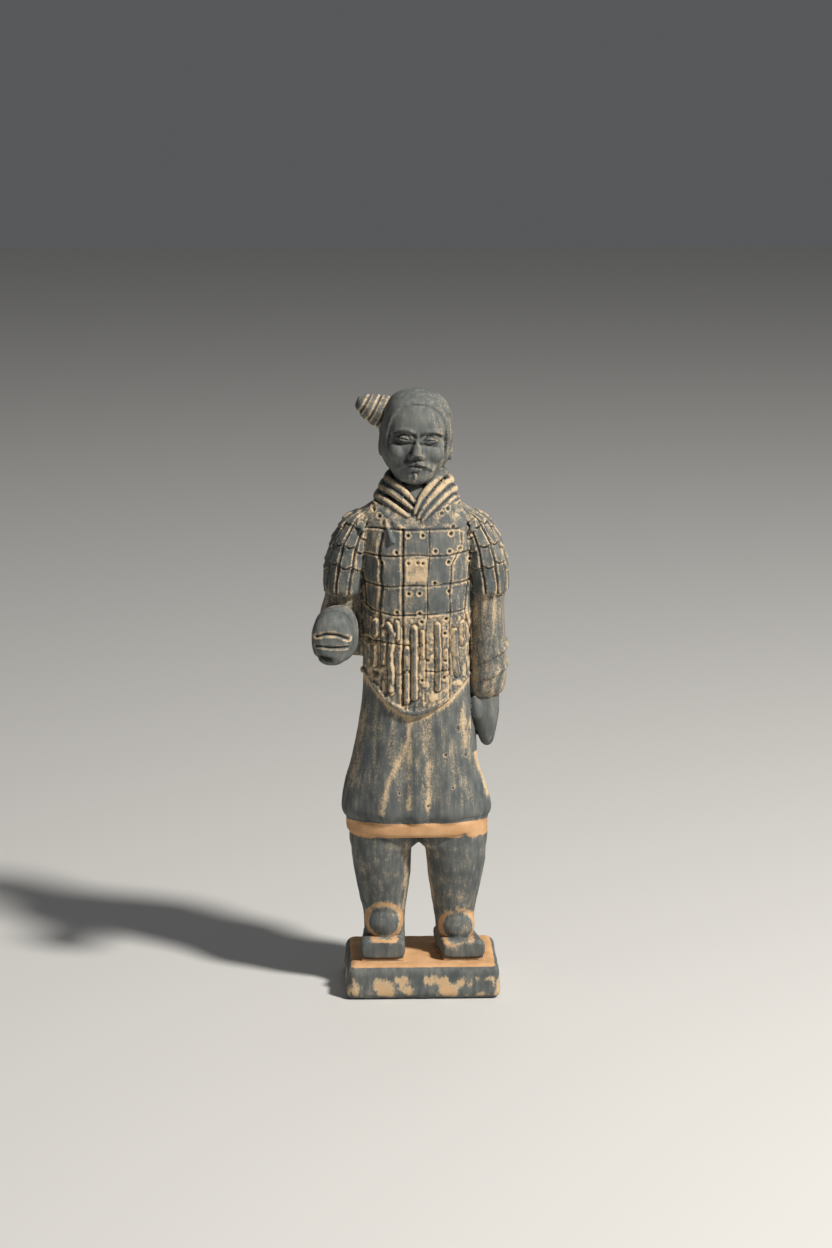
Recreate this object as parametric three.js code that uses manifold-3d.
// A terracotta warrior figurine, cast with its plinth as one solid piece of clay.
// Millimetres, +Z up, the warrior looks along -Y. x = 0 is the middle of the plinth.

import * as THREE from 'three';
import { mergeVertices } from 'three/addons/utils/BufferGeometryUtils.js';
import Module from 'manifold-3d';

const wasm = await Module();
wasm.setup();

// ---- driving dimensions ----------------------------------------------------------

const TOTAL_HEIGHT = 200;      // underside of the plinth to the crown of the head
const FIGURE_PLACE = [-1.8, -1.2, 0];   // the figure stands a little left and forward of the middle

const PLINTH_WIDTH = 51.4;
const PLINTH_DEPTH = 38.6;
const PLINTH_HEIGHT = 11.4;
const PLINTH_DRAFT = 1;        // how much narrower each side is at the top
const PLINTH_CORNER = 3;

const HEM_HEIGHT = 58.8;       // bottom of the tunic
const WAIST_HEIGHT = 107;      // where the armour ends at the sides
const TONGUE_HEIGHT = 94.7;    // lowest point of the armour's front
const TONGUE_X = -1.4;         // it hangs a little to one side
const SHOULDER_HEIGHT = 160;
const HEAD_CENTRE = [0, -0.6, TOTAL_HEIGHT - 15];
const HEAD_ROLL = 4;           // degrees, the crown leans towards +X

const PLATE_ROWS = [128.3, 138, 147.8, 156.3];              // lines between rows of plates
const PLATE_COLUMNS = [-72, -42, -14.6, 12.2, 42, 72];      // degrees from the front
const BACK_COLUMNS = [138, 166, 194, 222];
const GROOVE_WIDTH = 1.1;
const GROOVE_DEPTH = 0.6;
const SHORTEST_EDGE = 0.4;

// ---- helpers ---------------------------------------------------------------------

const radians = THREE.MathUtils.degToRad;
const lerp = THREE.MathUtils.lerp;

// A value between two ends, t running from 0 to 1, sampled count times.
function steps(from, to, count) {
  return Array.from({ length: count }, (_, i) => lerp(from, to, i / (count - 1)));
}

// Rows of numbers whose first number rises or falls; reads a smooth row at any first number.
function smoothTable(rows) {
  const direction = Math.sign(rows[rows.length - 1][0] - rows[0][0]);
  return (key) => {
    let i = 0;
    while (i < rows.length - 2 && (key - rows[i + 1][0]) * direction > 0) i += 1;
    const before = rows[Math.max(i - 1, 0)];
    const [a, b] = [rows[i], rows[i + 1]];
    const after = rows[Math.min(i + 2, rows.length - 1)];
    const span = b[0] - a[0];
    const t = THREE.MathUtils.clamp((key - a[0]) / span, 0, 1);
    return a.map((_, n) => {
      const slopeA = (b[n] - before[n]) / (b[0] - before[0]) * span;
      const slopeB = (after[n] - a[n]) / (after[0] - a[0]) * span;
      const t2 = t * t;
      const t3 = t2 * t;
      return (2 * t3 - 3 * t2 + 1) * a[n] + (t3 - 2 * t2 + t) * slopeA
        + (3 * t2 - 2 * t3) * b[n] + (t3 - t2) * slopeB;
    });
  };
}

// A closed solid from indexed triangles, turned so that its faces point out.
function solidFrom(points, triangles) {
  let volume = 0;
  for (const [a, b, c] of triangles) {
    volume += points[a].dot(points[b].clone().cross(points[c]));
  }
  const facing = volume > 0 ? triangles : triangles.map(([a, b, c]) => [a, c, b]);
  return new wasm.Manifold(new wasm.Mesh({
    numProp: 3,
    vertProperties: new Float32Array(points.flatMap((p) => [p.x, p.y, p.z])),
    triVerts: new Uint32Array(facing.flat()),
  }));
}

// A solid through a stack of rings that all have the same number of points.
function loft(rings) {
  const sides = rings[0].length;
  const middle = (ring) => ring.reduce((sum, p) => sum.add(p), new THREE.Vector3())
    .divideScalar(sides);
  const points = [...rings.flat(), middle(rings[0]), middle(rings[rings.length - 1])];
  const bottom = points.length - 2;
  const top = points.length - 1;
  const lastRing = (rings.length - 1) * sides;
  const triangles = [];
  for (let i = 0; i < sides; i += 1) {
    const j = (i + 1) % sides;
    triangles.push([bottom, j, i], [top, lastRing + i, lastRing + j]);
    for (let start = 0; start < lastRing; start += sides) {
      triangles.push([start + i, start + j, start + sides + j]);
      triangles.push([start + i, start + sides + j, start + sides + i]);
    }
  }
  return solidFrom(points, triangles);
}

// A solid from one of three.js's closed geometries.
function solidOf(geometry) {
  geometry.deleteAttribute('normal');
  geometry.deleteAttribute('uv');
  const merged = mergeVertices(geometry, 1e-4);
  const place = merged.attributes.position;
  const points = Array.from({ length: place.count }, (_, i) => (
    new THREE.Vector3().fromBufferAttribute(place, i)
  ));
  const index = merged.index.array;
  const triangles = [];
  for (let i = 0; i < index.length; i += 3) {
    const [a, b, c] = index.slice(i, i + 3);
    if (a !== b && b !== c && c !== a) triangles.push([a, b, c]);
  }
  return solidFrom(points, triangles);
}

// An egg of three radii, turned and placed.
function egg(centre, radii, turn = [0, 0, 0], fineness = 12) {
  const geometry = new THREE.SphereGeometry(1, fineness, Math.round(fineness * 0.6));
  geometry.scale(...radii);
  geometry.rotateX(radians(turn[0]));
  geometry.rotateY(radians(turn[1]));
  geometry.rotateZ(radians(turn[2]));
  geometry.translate(...centre);
  return solidOf(geometry);
}

// The point of a rounded outline at an angle: 0 is the front (-Y), 90 is +X.
// Power 2 is an ellipse, and a higher power is squarer.
function outlinePoint(angle, width, front, back, power = 2.3) {
  const sine = Math.sin(radians(angle));
  const cosine = Math.cos(radians(angle));
  const depth = cosine > 0 ? front : back;
  const bulge = (Math.abs(sine) ** power + Math.abs(cosine) ** power) ** (-1 / power);
  return [width * sine * bulge, -depth * cosine * bulge];
}

// A level ring. A section is [height, x, y, half width, front depth, back depth].
function levelRing([z, x, y, width, front, back], sides, power) {
  return steps(0, 360, sides + 1).slice(0, sides).map((angle) => {
    const [dx, dy] = outlinePoint(angle, width, front, back, power);
    return new THREE.Vector3(x + dx, y + dy, z);
  });
}

// A round body through level sections.
function turnedBody(sections, sides, power) {
  return loft(sections.map((section) => levelRing(section, sides, power)));
}

// A roll of clay along a path, thinner at both ends. outward(point) says which way is up.
function roll(path, thickness, outward, { height = thickness, sides = 5, endShare = 0.45 } = {}) {
  const last = path.length - 1;
  return loft(path.map((point, i) => {
    const along = path[Math.min(i + 1, last)].clone().sub(path[Math.max(i - 1, 0)]).normalize();
    const across = along.clone().cross(outward(point)).normalize();
    const up = across.clone().cross(along);
    const share = i === 0 || i === last ? endShare : 1;
    return steps(0, 360, sides + 1).slice(0, sides).map((angle) => (
      point.clone()
        .addScaledVector(across, thickness * share * Math.cos(radians(angle)))
        .addScaledVector(up, height * share * Math.sin(radians(angle)))
    ));
  }));
}

function union(solids) {
  return solids.reduce((whole, solid) => whole.add(solid));
}

// Merges the ends of the very short edges that joins leave where surfaces cross.
// An edge stays if merging it would open the surface or fold a triangle over.
function mergeShortEdges({ vertProperties, triVerts }, shortest) {
  const points = [];
  for (let i = 0; i < vertProperties.length; i += 3) {
    points.push(new THREE.Vector3(...vertProperties.slice(i, i + 3)));
  }
  const triangles = [];
  const around = points.map(() => new Set());
  for (let i = 0; i < triVerts.length; i += 3) {
    const triangle = [...triVerts.slice(i, i + 3)];
    triangles.push(triangle);
    triangle.forEach((corner) => around[corner].add(triangle));
  }
  const normalOf = (corners) => {
    const [a, b, c] = corners.map((corner) => points[corner]);
    return b.clone().sub(a).cross(c.clone().sub(a)).normalize();
  };
  const neighbours = (corner) => new Set([...around[corner]].flat());
  const replaced = (triangle, gone, kept) => (
    triangle.map((corner) => (corner === gone ? kept : corner))
  );
  const canMerge = (gone, kept) => {
    const beside = [...neighbours(gone)].filter((corner) => neighbours(kept).has(corner))
      .filter((corner) => corner !== gone && corner !== kept);
    if (beside.length !== 2) return false;
    const bothClose = [gone, kept].every((end) => (
      [...around[end]].some((triangle) => beside.every((corner) => triangle.includes(corner)))
    ));
    if (bothClose) return false;
    return [...around[gone]].filter((triangle) => !triangle.includes(kept)).every((triangle) => (
      normalOf(triangle).dot(normalOf(replaced(triangle, gone, kept))) > 0.6
    ));
  };
  const merge = (gone, kept) => {
    [...around[gone]].forEach((triangle) => {
      if (triangle.includes(kept)) {
        triangle.forEach((corner) => around[corner].delete(triangle));
        triangle.length = 0;
      } else {
        triangle.splice(0, 3, ...replaced(triangle, gone, kept));
        around[kept].add(triangle);
      }
    });
    around[gone].clear();
  };
  for (const limit of [shortest * 0.1, shortest * 0.3, shortest * 0.6, shortest, shortest]) {
    for (const triangle of triangles) {
      for (let side = 0; side < 3 && triangle.length; side += 1) {
        const [a, b] = [triangle[side], triangle[(side + 1) % 3]];
        if (points[a].distanceTo(points[b]) < limit) {
          if (canMerge(a, b)) merge(a, b);
          else if (canMerge(b, a)) merge(b, a);
        }
      }
    }
  }
  const used = [...new Set(triangles.flat())];
  const newIndex = new Map(used.map((corner, i) => [corner, i]));
  const geometry = new THREE.BufferGeometry().setFromPoints(used.map((corner) => points[corner]));
  geometry.setIndex(triangles.flat().map((corner) => newIndex.get(corner)));
  geometry.computeVertexNormals();
  return geometry;
}

// Each line becomes a groove: its two lips at depth 0 and its bottom at depth 1.
function groovedScale(lines, width) {
  return lines.flatMap((line) => [[line - width / 2, 0], [line, 1], [line + width / 2, 0]]);
}

const awayFromBody = (point) => new THREE.Vector3(point.x * 0.7, point.y, 0).normalize();

// ---- plinth ----------------------------------------------------------------------

function plinth() {
  const cornerPoints = 5;
  const ring = (z, inset) => {
    const halfWidth = PLINTH_WIDTH / 2 - inset;
    const halfDepth = PLINTH_DEPTH / 2 - inset;
    const corners = [[1, -1, -90], [1, 1, 0], [-1, 1, 90], [-1, -1, 180]];
    return corners.flatMap(([sideX, sideY, start]) => (
      steps(start, start + 90, cornerPoints).map((angle) => new THREE.Vector3(
        sideX * (halfWidth - PLINTH_CORNER) + PLINTH_CORNER * Math.cos(radians(angle)),
        sideY * (halfDepth - PLINTH_CORNER) + PLINTH_CORNER * Math.sin(radians(angle)),
        z,
      ))
    ));
  };
  const edge = 0.9;
  return loft([
    ring(0, 0.4),
    ring(0.6, 0),
    ring(PLINTH_HEIGHT - edge, PLINTH_DRAFT),
    ring(PLINTH_HEIGHT - edge * 0.3, PLINTH_DRAFT + edge * 0.3),
    ring(PLINTH_HEIGHT, PLINTH_DRAFT + edge),
  ]);
}

// ---- legs and shoes --------------------------------------------------------------

const LEFT_LEG = [
  [11, -10.5, 1.5, 6.6, 7.4, 7.4],
  [19, -10.5, 1.5, 6.7, 7.4, 7.4],
  [25, -10.6, 1.4, 6.9, 7.8, 7.6],
  [31, -10.95, 1, 7.95, 8.8, 8.6],
  [38, -11.15, 0.5, 9.15, 9.8, 9.8],
  [45, -11.4, 0, 10, 10.6, 10.6],
  [47.4, -11.3, 0, 10.4, 10.9, 10.9],
  [48.8, -11, 0, 10.9, 11, 11],
  [49.5, -10.4, 0, 11.6, 11, 11],
  [56, -10.4, 0, 11.7, 11.2, 11.2],
];

const RIGHT_LEG = [
  [11, 12.9, 1.5, 6.3, 7.4, 7.4],
  [20, 12.8, 1.5, 6.35, 7.4, 7.4],
  [25, 12.6, 1.4, 6.75, 7.8, 7.6],
  [31, 12.7, 1, 7.8, 8.8, 8.6],
  [38, 12.95, 0.5, 9.05, 9.8, 9.8],
  [45, 13, 0, 10.1, 10.6, 10.6],
  [47.4, 12.8, 0, 10.5, 10.9, 10.9],
  [48.8, 12.4, 0, 11, 11, 11],
  [49.5, 11.8, 0, 11.7, 11, 11],
  [56, 11.8, 0, 11.7, 11.2, 11.2],
];

// A shoe lies along Y: each section is [y, x, half width, top of the upper].
function shoe(sections, instep) {
  const ground = PLINTH_HEIGHT - 0.6;
  const soleTop = PLINTH_HEIGHT + 1.3;
  const section = ([y, x, halfWidth, top], inset, low, high) => {
    const tall = (high ?? top) - low;
    return steps(0, 360, 13).slice(0, 12).map((angle) => {
      const [dx, dz] = outlinePoint(angle, halfWidth - inset, tall / 2, tall / 2, 5);
      return new THREE.Vector3(x + dx, y, low + tall / 2 + dz);
    });
  };
  const upper = loft(sections.map((row) => section(row, 0, soleTop)));
  const sole = loft([sections[1], ...sections.slice(3, -1)].map((row) => (
    section(row, 0.5, ground, soleTop + 1)
  )));
  return union([upper, sole, instep]);
}

function leftShoe() {
  return shoe([
    [10.5, -10.5, 5, 16],
    [9.3, -10.5, 6.6, 18],
    [0, -10.8, 7, 18.8],
    [-6.5, -11.2, 7.2, 18.3],
    [-9.6, -11.4, 7.4, 18.9],
    [-11.3, -11.4, 7.3, 18.7],
    [-12, -11.4, 6.6, 18],
  ], egg([-10.8, -5, 24], [5.3, 4.6, 5.4], [-20, 0, 0], 10));
}

function rightShoe() {
  return shoe([
    [10.5, 12.4, 5, 16],
    [9.3, 12.4, 6.3, 17.6],
    [0, 13.4, 6.8, 18.3],
    [-6.5, 14.6, 7, 17.9],
    [-9.6, 15.1, 7.1, 18.4],
    [-11.3, 15.3, 7, 18.2],
    [-12, 15.4, 6.4, 17.5],
  ], egg([13.6, -5, 22], [5.2, 4.6, 4.9], [-20, 0, 0], 10));
}

// ---- tunic -----------------------------------------------------------------------

// [height, reach to -X, reach to +X, half depth]
const TUNIC = [
  [HEM_HEIGHT, 22.6, 22.9, 13.1],
  [60.6, 24.3, 24.5, 14.2],
  [63.7, 24.6, 24.4, 14.4],
  [70.6, 23.5, 22.4, 14],
  [77, 21.7, 20.3, 13.5],
  [85, 19.9, 19.7, 13.1],
  [92, 18.6, 18.7, 12.7],
  [100, 17.6, 17.8, 12.3],
  [112, 17.2, 17.2, 12.2],
];

function tunic() {
  const sides = 36;
  const folds = 9;
  const foldDepth = 0.32;
  const table = smoothTable(TUNIC);
  const heights = [HEM_HEIGHT, 59.6, 61, 63.7, 67.5, 72, 77, 83, 90, 98, 112];
  return loft(heights.map((height) => {
    const [z, left, right, depth] = table(height);
    const fullness = foldDepth * (1 - THREE.MathUtils.smoothstep(z, 66, 96)) + 0.12;
    return steps(0, 360, sides + 1).slice(0, sides).map((angle) => {
      const fold = fullness * Math.cos(radians(angle * folds + 25 * Math.sin(radians(angle))));
      const middle = (right - left) / 2;
      const halfWidth = (left + right) / 2 + fold;
      const [dx, dy] = outlinePoint(angle, halfWidth, depth + fold, depth + fold, 2.5);
      return new THREE.Vector3(middle + dx, dy, z);
    });
  }));
}

function underTunic() {
  const top = HEM_HEIGHT + 2;
  return turnedBody([
    [53.6, 0.2, 0, 22.3, 12.3, 12.3],
    [54.6, 0.2, 0, 23.2, 13, 13],
    [top, 0.2, 0, 23.3, 13.1, 13.1],
  ], 24, 2.6);
}

// ---- armour ----------------------------------------------------------------------

// The trunk from waist to neck: [height, x, y, half width, front depth, back depth].
const trunkSection = smoothTable([
  [94, -0.1, 0, 16.8, 13.4, 12.6],
  [107, -0.1, 0, 17.3, 13.9, 13],
  [128, -0.1, 0, 17.8, 14.6, 13.4],
  [141, -0.1, 0, 18.2, 15, 13.8],
  [150, 0, 0, 18.6, 14.3, 13.6],
  [156.3, 0, 0, 19.2, 13, 12.8],
  [SHOULDER_HEIGHT, 0, 0, 18.4, 11.4, 11.6],
  [162.6, 0, 0, 15.2, 9.8, 10],
  [165.5, 0, 0, 10, 8, 8],
]);

// A point on the trunk, lifted off it by some amount.
function trunkPoint(angle, z, lift = 0) {
  const [, x, y, width, front, back] = trunkSection(z);
  const [dx, dy] = outlinePoint(angle, width + lift, front + lift, back + lift, 2.4);
  return new THREE.Vector3(x + dx, y + dy, z);
}

// The trunk point that shows at a sideways place on the front.
function trunkFront(x, z, lift = 0) {
  const [, middle, , width] = trunkSection(z);
  let angle = 0;
  const goal = THREE.MathUtils.clamp((x - middle) / width, -0.97, 0.97);
  for (let i = 0; i < 12; i += 1) {
    const [reach] = outlinePoint(angle, 1, 1, 1, 2.4);
    angle += (goal - reach) * 60;
  }
  return trunkPoint(angle, z, lift);
}

// The armour's lower edge: a tongue at the front, level at the sides and back.
function armourHem(angle) {
  const span = Math.sin(radians(angle)) > 0 ? 18.9 : 15.2;
  const x = trunkPoint(angle, WAIST_HEIGHT).x - TONGUE_X;
  const front = Math.cos(radians(angle)) > 0;
  const share = front ? Math.min(Math.abs(x) / span, 1) ** 1.7 : 1;
  return lerp(TONGUE_HEIGHT, WAIST_HEIGHT, share);
}

function armour() {
  const toAngle = (width) => width / 18 * THREE.MathUtils.RAD2DEG;
  const columns = groovedScale([...PLATE_COLUMNS, ...BACK_COLUMNS], toAngle(GROOVE_WIDTH));
  const plateMiddles = [-57, -28, -1, 27, 57, 90, 115, 152, 180, 208, 245, 270];
  const around = [...columns, ...plateMiddles.map((angle) => [angle, 0])]
    .sort((a, b) => a[0] - b[0]);
  const lowestRow = PLATE_ROWS[0] - GROOVE_WIDTH;
  const aboveHem = (share) => (angle) => lerp(armourHem(angle), lowestRow, share);
  const rows = [
    [(angle) => armourHem(angle) + 1, 0, -3.2],
    [(angle) => armourHem(angle), 0, 0],
    [(angle) => armourHem(angle) + 0.9, 0, 0.5],
    [(angle) => armourHem(angle) + 1.9, 0, 0],
    [aboveHem(0.5), 0, 0],
    ...groovedScale(PLATE_ROWS, GROOVE_WIDTH).map(([z, depth]) => [() => z, depth, 0]),
    ...[143, 152, 158.6, SHOULDER_HEIGHT + 0.8, 163, 165.5].map((z) => [() => z, 0, 0]),
  ].sort((a, b) => a[0](0) - b[0](0));
  return loft(rows.map(([heightAt, rowDepth, swell]) => around.map(([angle, columnDepth]) => {
    const z = heightAt(angle);
    const plated = z < PLATE_ROWS[3] + 0.5 && swell === 0;
    const groove = plated ? Math.max(rowDepth, columnDepth) : rowDepth;
    return trunkPoint(angle, z, swell - groove * GROOVE_DEPTH);
  })));
}

// Long lacing bars on the lower plates: [x, top, bottom, half width].
const LACING_BARS = [
  [-14.2, 122, 110, 0.8],
  [-11.4, 126, 104, 0.9],
  [-8.8, 119, 101.5, 0.8],
  [-3.9, 118.4, 101, 1],
  [-1.2, 126.6, 100.4, 0.8],
  [6.5, 125.2, 103, 0.9],
  [13.4, 122, 106.8, 0.8],
];

function lacingBars() {
  return LACING_BARS.map(([x, top, bottom, halfWidth]) => {
    const path = steps(top, bottom, 3).map((z) => trunkFront(x, z, 0.1));
    return roll(path, halfWidth * 1.2, awayFromBody, { height: 0.8, sides: 4, endShare: 0.6 });
  });
}

function chestToggle() {
  const path = steps(0, 1, 4).map((t) => (
    trunkFront(lerp(-10.7, -8.2, t), lerp(159.7, 151.6, t), 0.1)
  ));
  return roll(path, 1, awayFromBody, { height: 0.9, endShare: 0.6 });
}

// A strip over the shoulder, where the trunk's armour meets the shoulder guard.
function shoulderStrip(side) {
  const path = steps(-60, 60, 7).map((angle) => new THREE.Vector3(
    side * (15.6 + 3.6 * Math.cos(radians(angle))),
    11.2 * Math.sin(radians(angle)),
    150.4 + 9.3 * Math.cos(radians(angle)),
  ));
  const outward = (point) => new THREE.Vector3(0, point.y, point.z - 148).normalize();
  return roll(path, 1.1, outward, { height: 0.9 });
}

// ---- collar ----------------------------------------------------------------------

function neck() {
  return turnedBody([
    [160, 0, 0.3, 7.6, 6.4, 7],
    [176, 0, 1, 7, 5.6, 7],
  ], 12, 2);
}

// Rolled cloth that crosses low at the front. Each ring of the scarf is
// [half width, front depth, back depth, height at the front, at the sides, at the back];
// rings alternate between the bottom of a fold and the top of a roll.
const SCARF_RINGS = [
  [12.6, 10.6, 11.6, 156.6, 162.8, 164.8],
  [13.4, 12.3, 12.4, 158.4, 164.2, 166.4],
  [12.9, 12, 12, 159.9, 165.4, 167.6],
  [11.3, 10.3, 10.6, 160.7, 166.6, 168.6],
  [12.2, 11.3, 11.4, 161.6, 167.4, 169.4],
  [11.7, 10.9, 10.9, 162.9, 168.8, 170.8],
  [10.2, 9.2, 9.6, 163.6, 169.8, 171.6],
  [10.9, 10, 10.2, 164.4, 170.6, 172.4],
  [10.1, 9.4, 9.6, 165.6, 172, 173.6],
  [8.2, 7.4, 8, 166, 171.8, 173.4],
];

function scarf() {
  const lean = 0.09;         // the +X side lies higher
  const angles = [...steps(0, 90, 8), ...steps(108, 180, 5)];
  const around = [...angles, ...angles.slice(1, -1).reverse().map((angle) => -angle)];
  return loft(SCARF_RINGS.map(([width, front, back, tip, side, rear]) => around.map((angle) => {
    const [dx, dy] = outlinePoint(angle, width, front, back, 2);
    const turn = Math.abs(angle);
    const rise = Math.sin(radians(Math.min(turn, 90))) ** 1.1;
    const z = turn < 90 ? lerp(tip, side, rise) : lerp(side, rear, turn / 90 - 1);
    return new THREE.Vector3(dx, dy, z + dx * lean);
  })));
}

function neckline() {
  const half = (side, tip) => {
    const path = steps(6, 66, 5).map((angle) => {
      const z = lerp(tip, 165, Math.sin(radians(angle)) ** 1.15);
      return trunkPoint(side * angle, Math.min(z, 164), -0.1);
    });
    return roll(path, 0.8, awayFromBody, { height: 0.7 });
  };
  return union([half(1, 157.8), half(-1, 156.4)]);
}

// ---- shoulder guards -------------------------------------------------------------

// The right guard: [height, inner x, outer x, half depth]. The left one is its mirror.
const guardSection = smoothTable([
  [133.6, 19, 28.4, 7.6],
  [134.6, 17.5, 29.6, 8.8],
  [138.4, 16.6, 30.2, 9.4],
  [144.8, 15.6, 29.2, 9.6],
  [149.5, 14.6, 27.9, 9.4],
  [154.3, 13.4, 25.7, 8.6],
  [157.5, 12.4, 23.6, 7.4],
  [159.6, 12, 21, 6],
  [160.8, 12, 17.6, 3.6],
]);

function shoulderGuard(side) {
  const overlap = 0.3;
  const rowLines = [141, 147.4, 153.6];
  const columnLines = [14, 50, 85, 120, 155];
  const around = [
    ...groovedScale(columnLines, 9),
    ...[-70, -20, 32, 68, 102, 138, 190, 250].map((angle) => [angle, 0]),
  ].sort((a, b) => a[0] - b[0]);
  // each row of plates stands out at its lower end and tucks under the row above
  const rows = [
    [133.6, 0], [134.6, overlap],
    ...rowLines.flatMap((z) => [[z - 0.3, -overlap], [z + 0.3, overlap]]),
    [158, 0], [159.6, 0], [160.8, 0],
  ];
  return loft(rows.map(([z, lift]) => {
    const [, inner, outer, depth] = guardSection(z);
    return around.map(([angle, groove]) => {
      const out = lift - (z < 158 ? groove * GROOVE_DEPTH : 0);
      const halfWidth = (outer - inner) / 2 + out;
      const [dx, dy] = outlinePoint(angle, halfWidth, depth + out, depth + out, 2.2);
      return new THREE.Vector3(side * ((inner + outer) / 2 + dx), dy, z);
    });
  }));
}

// ---- arms ------------------------------------------------------------------------

// The clay left between an arm and the trunk.
function armWeb(side, bottom) {
  return loft(steps(bottom, 155, 2).map((z) => levelRing([z, side * 19, 0.5, 5, 6, 6], 8, 4)));
}

function hangingArm() {
  const sleeve = turnedBody([
    [99.2, 22.6, 0, 4, 4.8, 4.8],
    [100.4, 23.2, 0, 5.2, 6.4, 6],
    [104.5, 23.7, 0, 5.8, 7.2, 6.8],
    [110.3, 23.7, 0, 5.8, 7.2, 7],
    [117.8, 23.5, 0, 5.7, 7.2, 7],
    [124.7, 23.3, 0, 5.5, 7.2, 7],
    [138, 23.2, 0, 5.8, 7.6, 7.4],
  ], 14, 2.2);
  const foldHeights = [[104.8, 5.6], [110.6, 6.6]];
  const folds = foldHeights.map(([low, rise]) => {
    const path = steps(-38, 150, 7).map((angle) => {
      const [dx, dy] = outlinePoint(angle, 5.7, 7, 6.7, 2.2);
      return new THREE.Vector3(23.7 + dx, dy, low + rise * Math.sin(radians(angle / 2 + 19)));
    });
    const outward = (point) => new THREE.Vector3(point.x - 24, point.y, 0).normalize();
    return roll(path, 1.2, outward, { height: 1 });
  });
  return union([sleeve, ...folds, armWeb(1, 104)]);
}

function openHand() {
  const palm = turnedBody([
    [82.1, 23.2, -0.6, 0.9, 1.4, 1.2],
    [83.2, 23.1, -0.6, 1.9, 2.6, 2],
    [87.1, 22.9, -0.7, 3.1, 3.8, 3],
    [93.6, 22.6, -0.7, 4.4, 4.5, 3.6],
    [98, 22.6, -0.6, 4.6, 4.6, 4],
    [102, 22.6, -0.4, 4.4, 4.4, 4],
  ], 12, 2.3);
  const thumb = egg([19.6, -4, 95.4], [2, 2.2, 4.2], [0, -6, 0], 10);
  const fingerLines = [-2.4, -0.4, 1.6].map((y) => (
    egg([26.9, y, 88], [0.9, 0.35, 6.4], [0, 8, 0], 8)
  ));
  return fingerLines.reduce((hand, line) => hand.subtract(line), palm.add(thumb));
}

function bentArm() {
  const upperArm = turnedBody([
    [117, -25, 3, 4.6, 5.4, 5.4],
    [120, -25, 2.4, 6.4, 7.4, 7],
    [126, -25, 1.6, 6.4, 7.6, 7.2],
    [133, -24, 0.8, 5.7, 7.2, 7.2],
    [140, -23.4, 0, 5.8, 7.4, 7.2],
  ], 14, 2.2);
  // sections across the forearm: [y, x, z, half width, half height]
  const forearm = [
    [6.5, -25, 122, 4, 4.6],
    [4, -25.1, 122, 6.2, 7],
    [-4, -25.6, 122.2, 6.6, 7.8],
    [-12, -26.2, 122.3, 7, 8.8],
    [-15, -26.5, 122.3, 7.3, 9.3],
    [-16.6, -26.6, 122.3, 6.6, 8.6],
  ];
  const fist = [
    [-13, -26.8, 122.3, 5.6, 7.4],
    [-17.2, -27.3, 122.3, 6.3, 8.3],
    [-21.5, -27.8, 122.3, 6.5, 8.6],
    [-24.2, -27.8, 122.2, 5.6, 7.6],
    [-25.4, -27.8, 122.1, 3.6, 5.2],
  ];
  const across = (rows) => loft(rows.map(([y, x, z, width, height]) => (
    steps(0, 360, 17).slice(0, 16).map((angle) => {
      const [dx, dz] = outlinePoint(angle, width, height, height, 2.3);
      return new THREE.Vector3(x + dx, y, z + dz);
    })
  )));
  const knuckleGaps = [124.8, 121.4, 118.2].map((z, i) => (
    egg([-27.4, -25.6, z], [5.4 - i * 0.4, 1.5, 0.6], [0, 4, 0], 10)
  ));
  const hand = knuckleGaps.reduce((whole, gap) => whole.subtract(gap), across(fist));
  return union([upperArm, across(forearm), hand, armWeb(-1, 112.6)]);
}

// ---- head ------------------------------------------------------------------------

// Head sections about its centre: [height, x, y, half width, front depth, back depth].
const SKULL = [
  [-15, 0, -3.5, 2.6, 4, 3],
  [-13.9, 0, -3, 5.4, 6.6, 6],
  [-10.6, 0, -1.5, 8, 9.2, 8.8],
  [-6, 0, -0.6, 9.9, 10.6, 10.8],
  [0, 0, 0, 10.8, 11.2, 12],
  [5, 0, 0, 10.9, 11, 12],
  [9.4, 0, 0.2, 9.8, 9.8, 11],
  [12.4, 0, 0.5, 7.6, 7.4, 8.8],
  [14.2, 0, 0.8, 4.2, 4, 5],
];

const HAIR = [
  [-13, 0, 2.4, 5.4, 4, 5],
  [-11.6, 0, 2, 8, 7, 7.6],
  [-7, 0, 1.2, 10.9, 10, 9.6],
  [-2, 0, 0.4, 11.9, 11.6, 11.8],
  [4, 0, 0, 11.6, 11.8, 12.8],
  [8.6, 0, 0.2, 10.6, 10.8, 12],
  [12.4, 0, 0.4, 8.2, 8.4, 9.6],
  [14.4, 0, 0.6, 4.8, 5, 6],
  [15, 0, 0.7, 1.6, 1.8, 2],
];

// The opening that leaves the face bare of hair, a long oval seen from the front.
function faceOpening() {
  const ring = (y) => steps(0, 360, 21).slice(0, 20).map((angle) => {
    const [dx, dz] = outlinePoint(angle, 9.3, 16, 11, 2.4);
    return new THREE.Vector3(dx, y, -0.8 - dz);
  });
  return loft([ring(-20), ring(-1.5)]);
}

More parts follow.
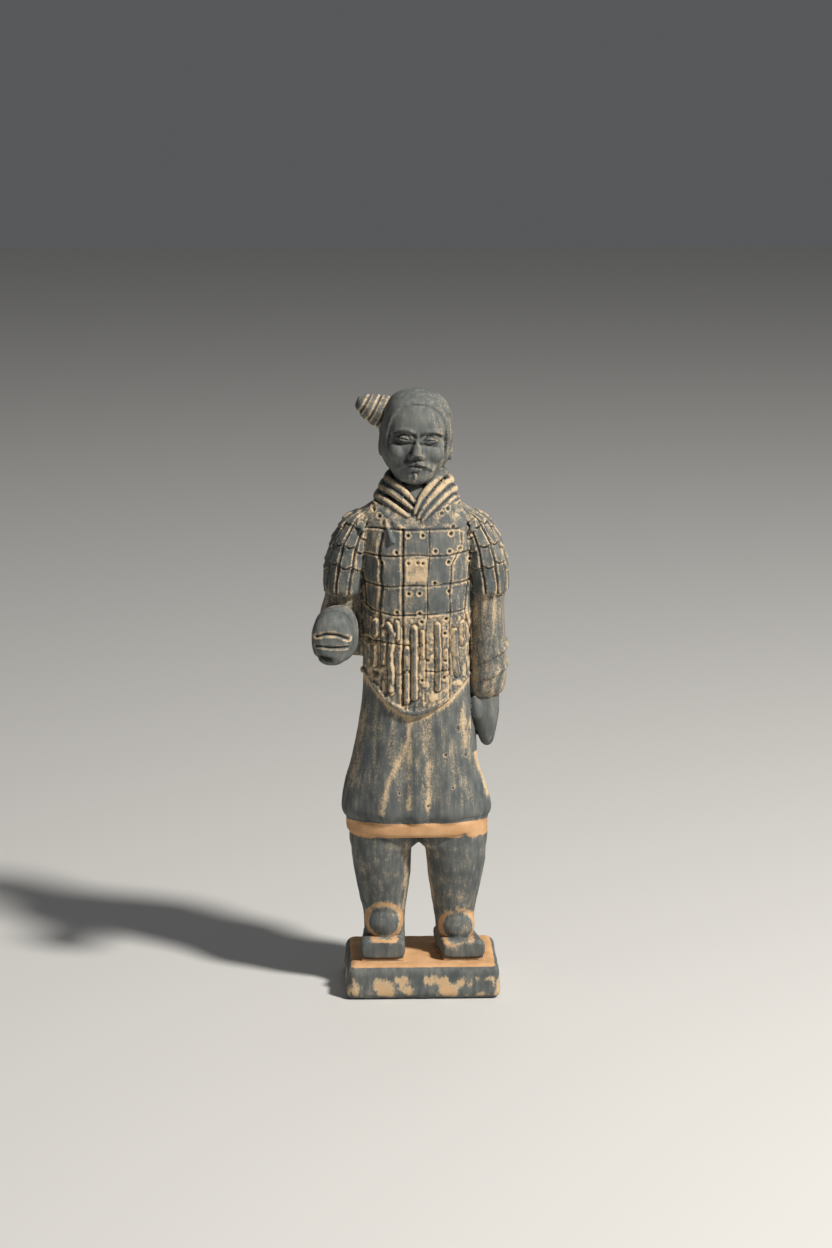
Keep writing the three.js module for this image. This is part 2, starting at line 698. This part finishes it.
function face() {
  const forward = () => new THREE.Vector3(0, -1, 0);
  const pair = (make) => [make(1), make(-1)];
  const nose = loft([
    levelRing([1.6, 0, -10.4, 1, 1, 2], 8, 2),
    levelRing([-2, 0, -10.6, 1.3, 1.7, 2], 8, 2),
    levelRing([-5, 0, -10.6, 1.9, 2.6, 2], 8, 2),
    levelRing([-6.4, 0, -10.4, 1.7, 1.8, 2], 8, 2),
  ]);
  const brow = [[1.5, -11, 2], [3.8, -10.9, 3], [6.4, -9.6, 2.4], [7.9, -8, 1.2]];
  const moustache = [[0.2, -11.3, -7.4], [2.4, -10.9, -7.7], [4.4, -9.6, -9], [5, -9, -10]];
  const pathOn = (side, places) => places.map(([x, y, z]) => new THREE.Vector3(side * x, y, z));
  const features = [
    ...pair((side) => roll(pathOn(side, brow), 0.6, forward, { height: 0.7 })),
    ...pair((side) => egg([side * 4.2, -9.7, 0], [2.3, 1.3, 0.95], [0, 0, side * 14], 8)),
    ...pair((side) => roll(pathOn(side, moustache), 0.75, forward, { height: 0.8 })),
    egg([0, -9.9, -9.6], [2.4, 1.2, 0.7], [0, 0, 0], 8),
    egg([0, -9.1, -12], [1.3, 1.2, 1.9], [0, 0, 0], 8),
  ];
  return union([nose, ...features]);
}

// The hair knot at the upper left, wound round itself as it narrows to its tip.
function topknot() {
  const sides = 12;
  const turns = 3;
  const windDepth = 0.4;
  const axis = smoothTable([
    // along, x, z, radius
    [0, -6, 190.5, 5.4],
    [0.35, -10.6, 191.8, 5.6],
    [0.6, -13.4, 193.1, 4.9],
    [0.82, -16.2, 194.4, 3.8],
    [0.95, -18.1, 195.2, 2.6],
    [1, -18.9, 195.5, 1.2],
  ]);
  return loft([0, 0.3, 0.4, 0.49, 0.58, 0.67, 0.76, 0.85, 0.93, 0.97, 1].map((along) => {
    const [, x, z, radius] = axis(along);
    const [, nextX, nextZ] = axis(Math.min(along + 0.05, 1.02));
    const lean = Math.atan2(nextZ - z, x - nextX || 0.1);
    return steps(0, 360, sides + 1).slice(0, sides).map((angle) => {
      const wind = windDepth * Math.cos(radians(angle - along * turns * 360)) * (along < 0.95 ? 1 : 0);
      const reach = radius + wind;
      const up = reach * Math.cos(radians(angle));
      return new THREE.Vector3(
        x + up * Math.sin(lean),
        4 + reach * Math.sin(radians(angle)),
        z + up * Math.cos(lean),
      );
    });
  }));
}

function head() {
  const hair = turnedBody(HAIR, 22, 2.2).subtract(faceOpening());
  const skull = turnedBody(SKULL, 22, 2.2);
  const ears = [1, -1].map((side) => (
    egg([side * 10.9, -1, -3.4], [1.2, 2.2, 4], [0, side * -4, 0], 8)
  ));
  return union([skull, hair, face(), ...ears])
    .rotate([0, HEAD_ROLL, 0])
    .translate(HEAD_CENTRE);
}

// ---- the whole cast piece --------------------------------------------------------

const figure = union([
  turnedBody(LEFT_LEG, 16, 2.2),
  turnedBody(RIGHT_LEG, 16, 2.2),
  leftShoe(),
  rightShoe(),
  underTunic(),
  tunic(),
  armour(),
  ...lacingBars(),
  chestToggle(),
  shoulderStrip(1),
  shoulderStrip(-1),
  neck(),
  scarf(),
  neckline(),
  shoulderGuard(1),
  shoulderGuard(-1),
  hangingArm(),
  openHand(),
  bentArm(),
  head(),
  topknot(),
]).translate(FIGURE_PLACE);

const cast = plinth().add(figure);
const geometry = mergeShortEdges(cast.getMesh(), SHORTEST_EDGE);

const clay = new THREE.MeshStandardMaterial({ color: 0x66696a, roughness: 0.9, metalness: 0 });
const warrior = new THREE.Mesh(geometry, clay);
warrior.name = 'warrior_figure';

const group = new THREE.Group();
group.name = 'terracotta_warrior';
group.add(warrior);

export default group;
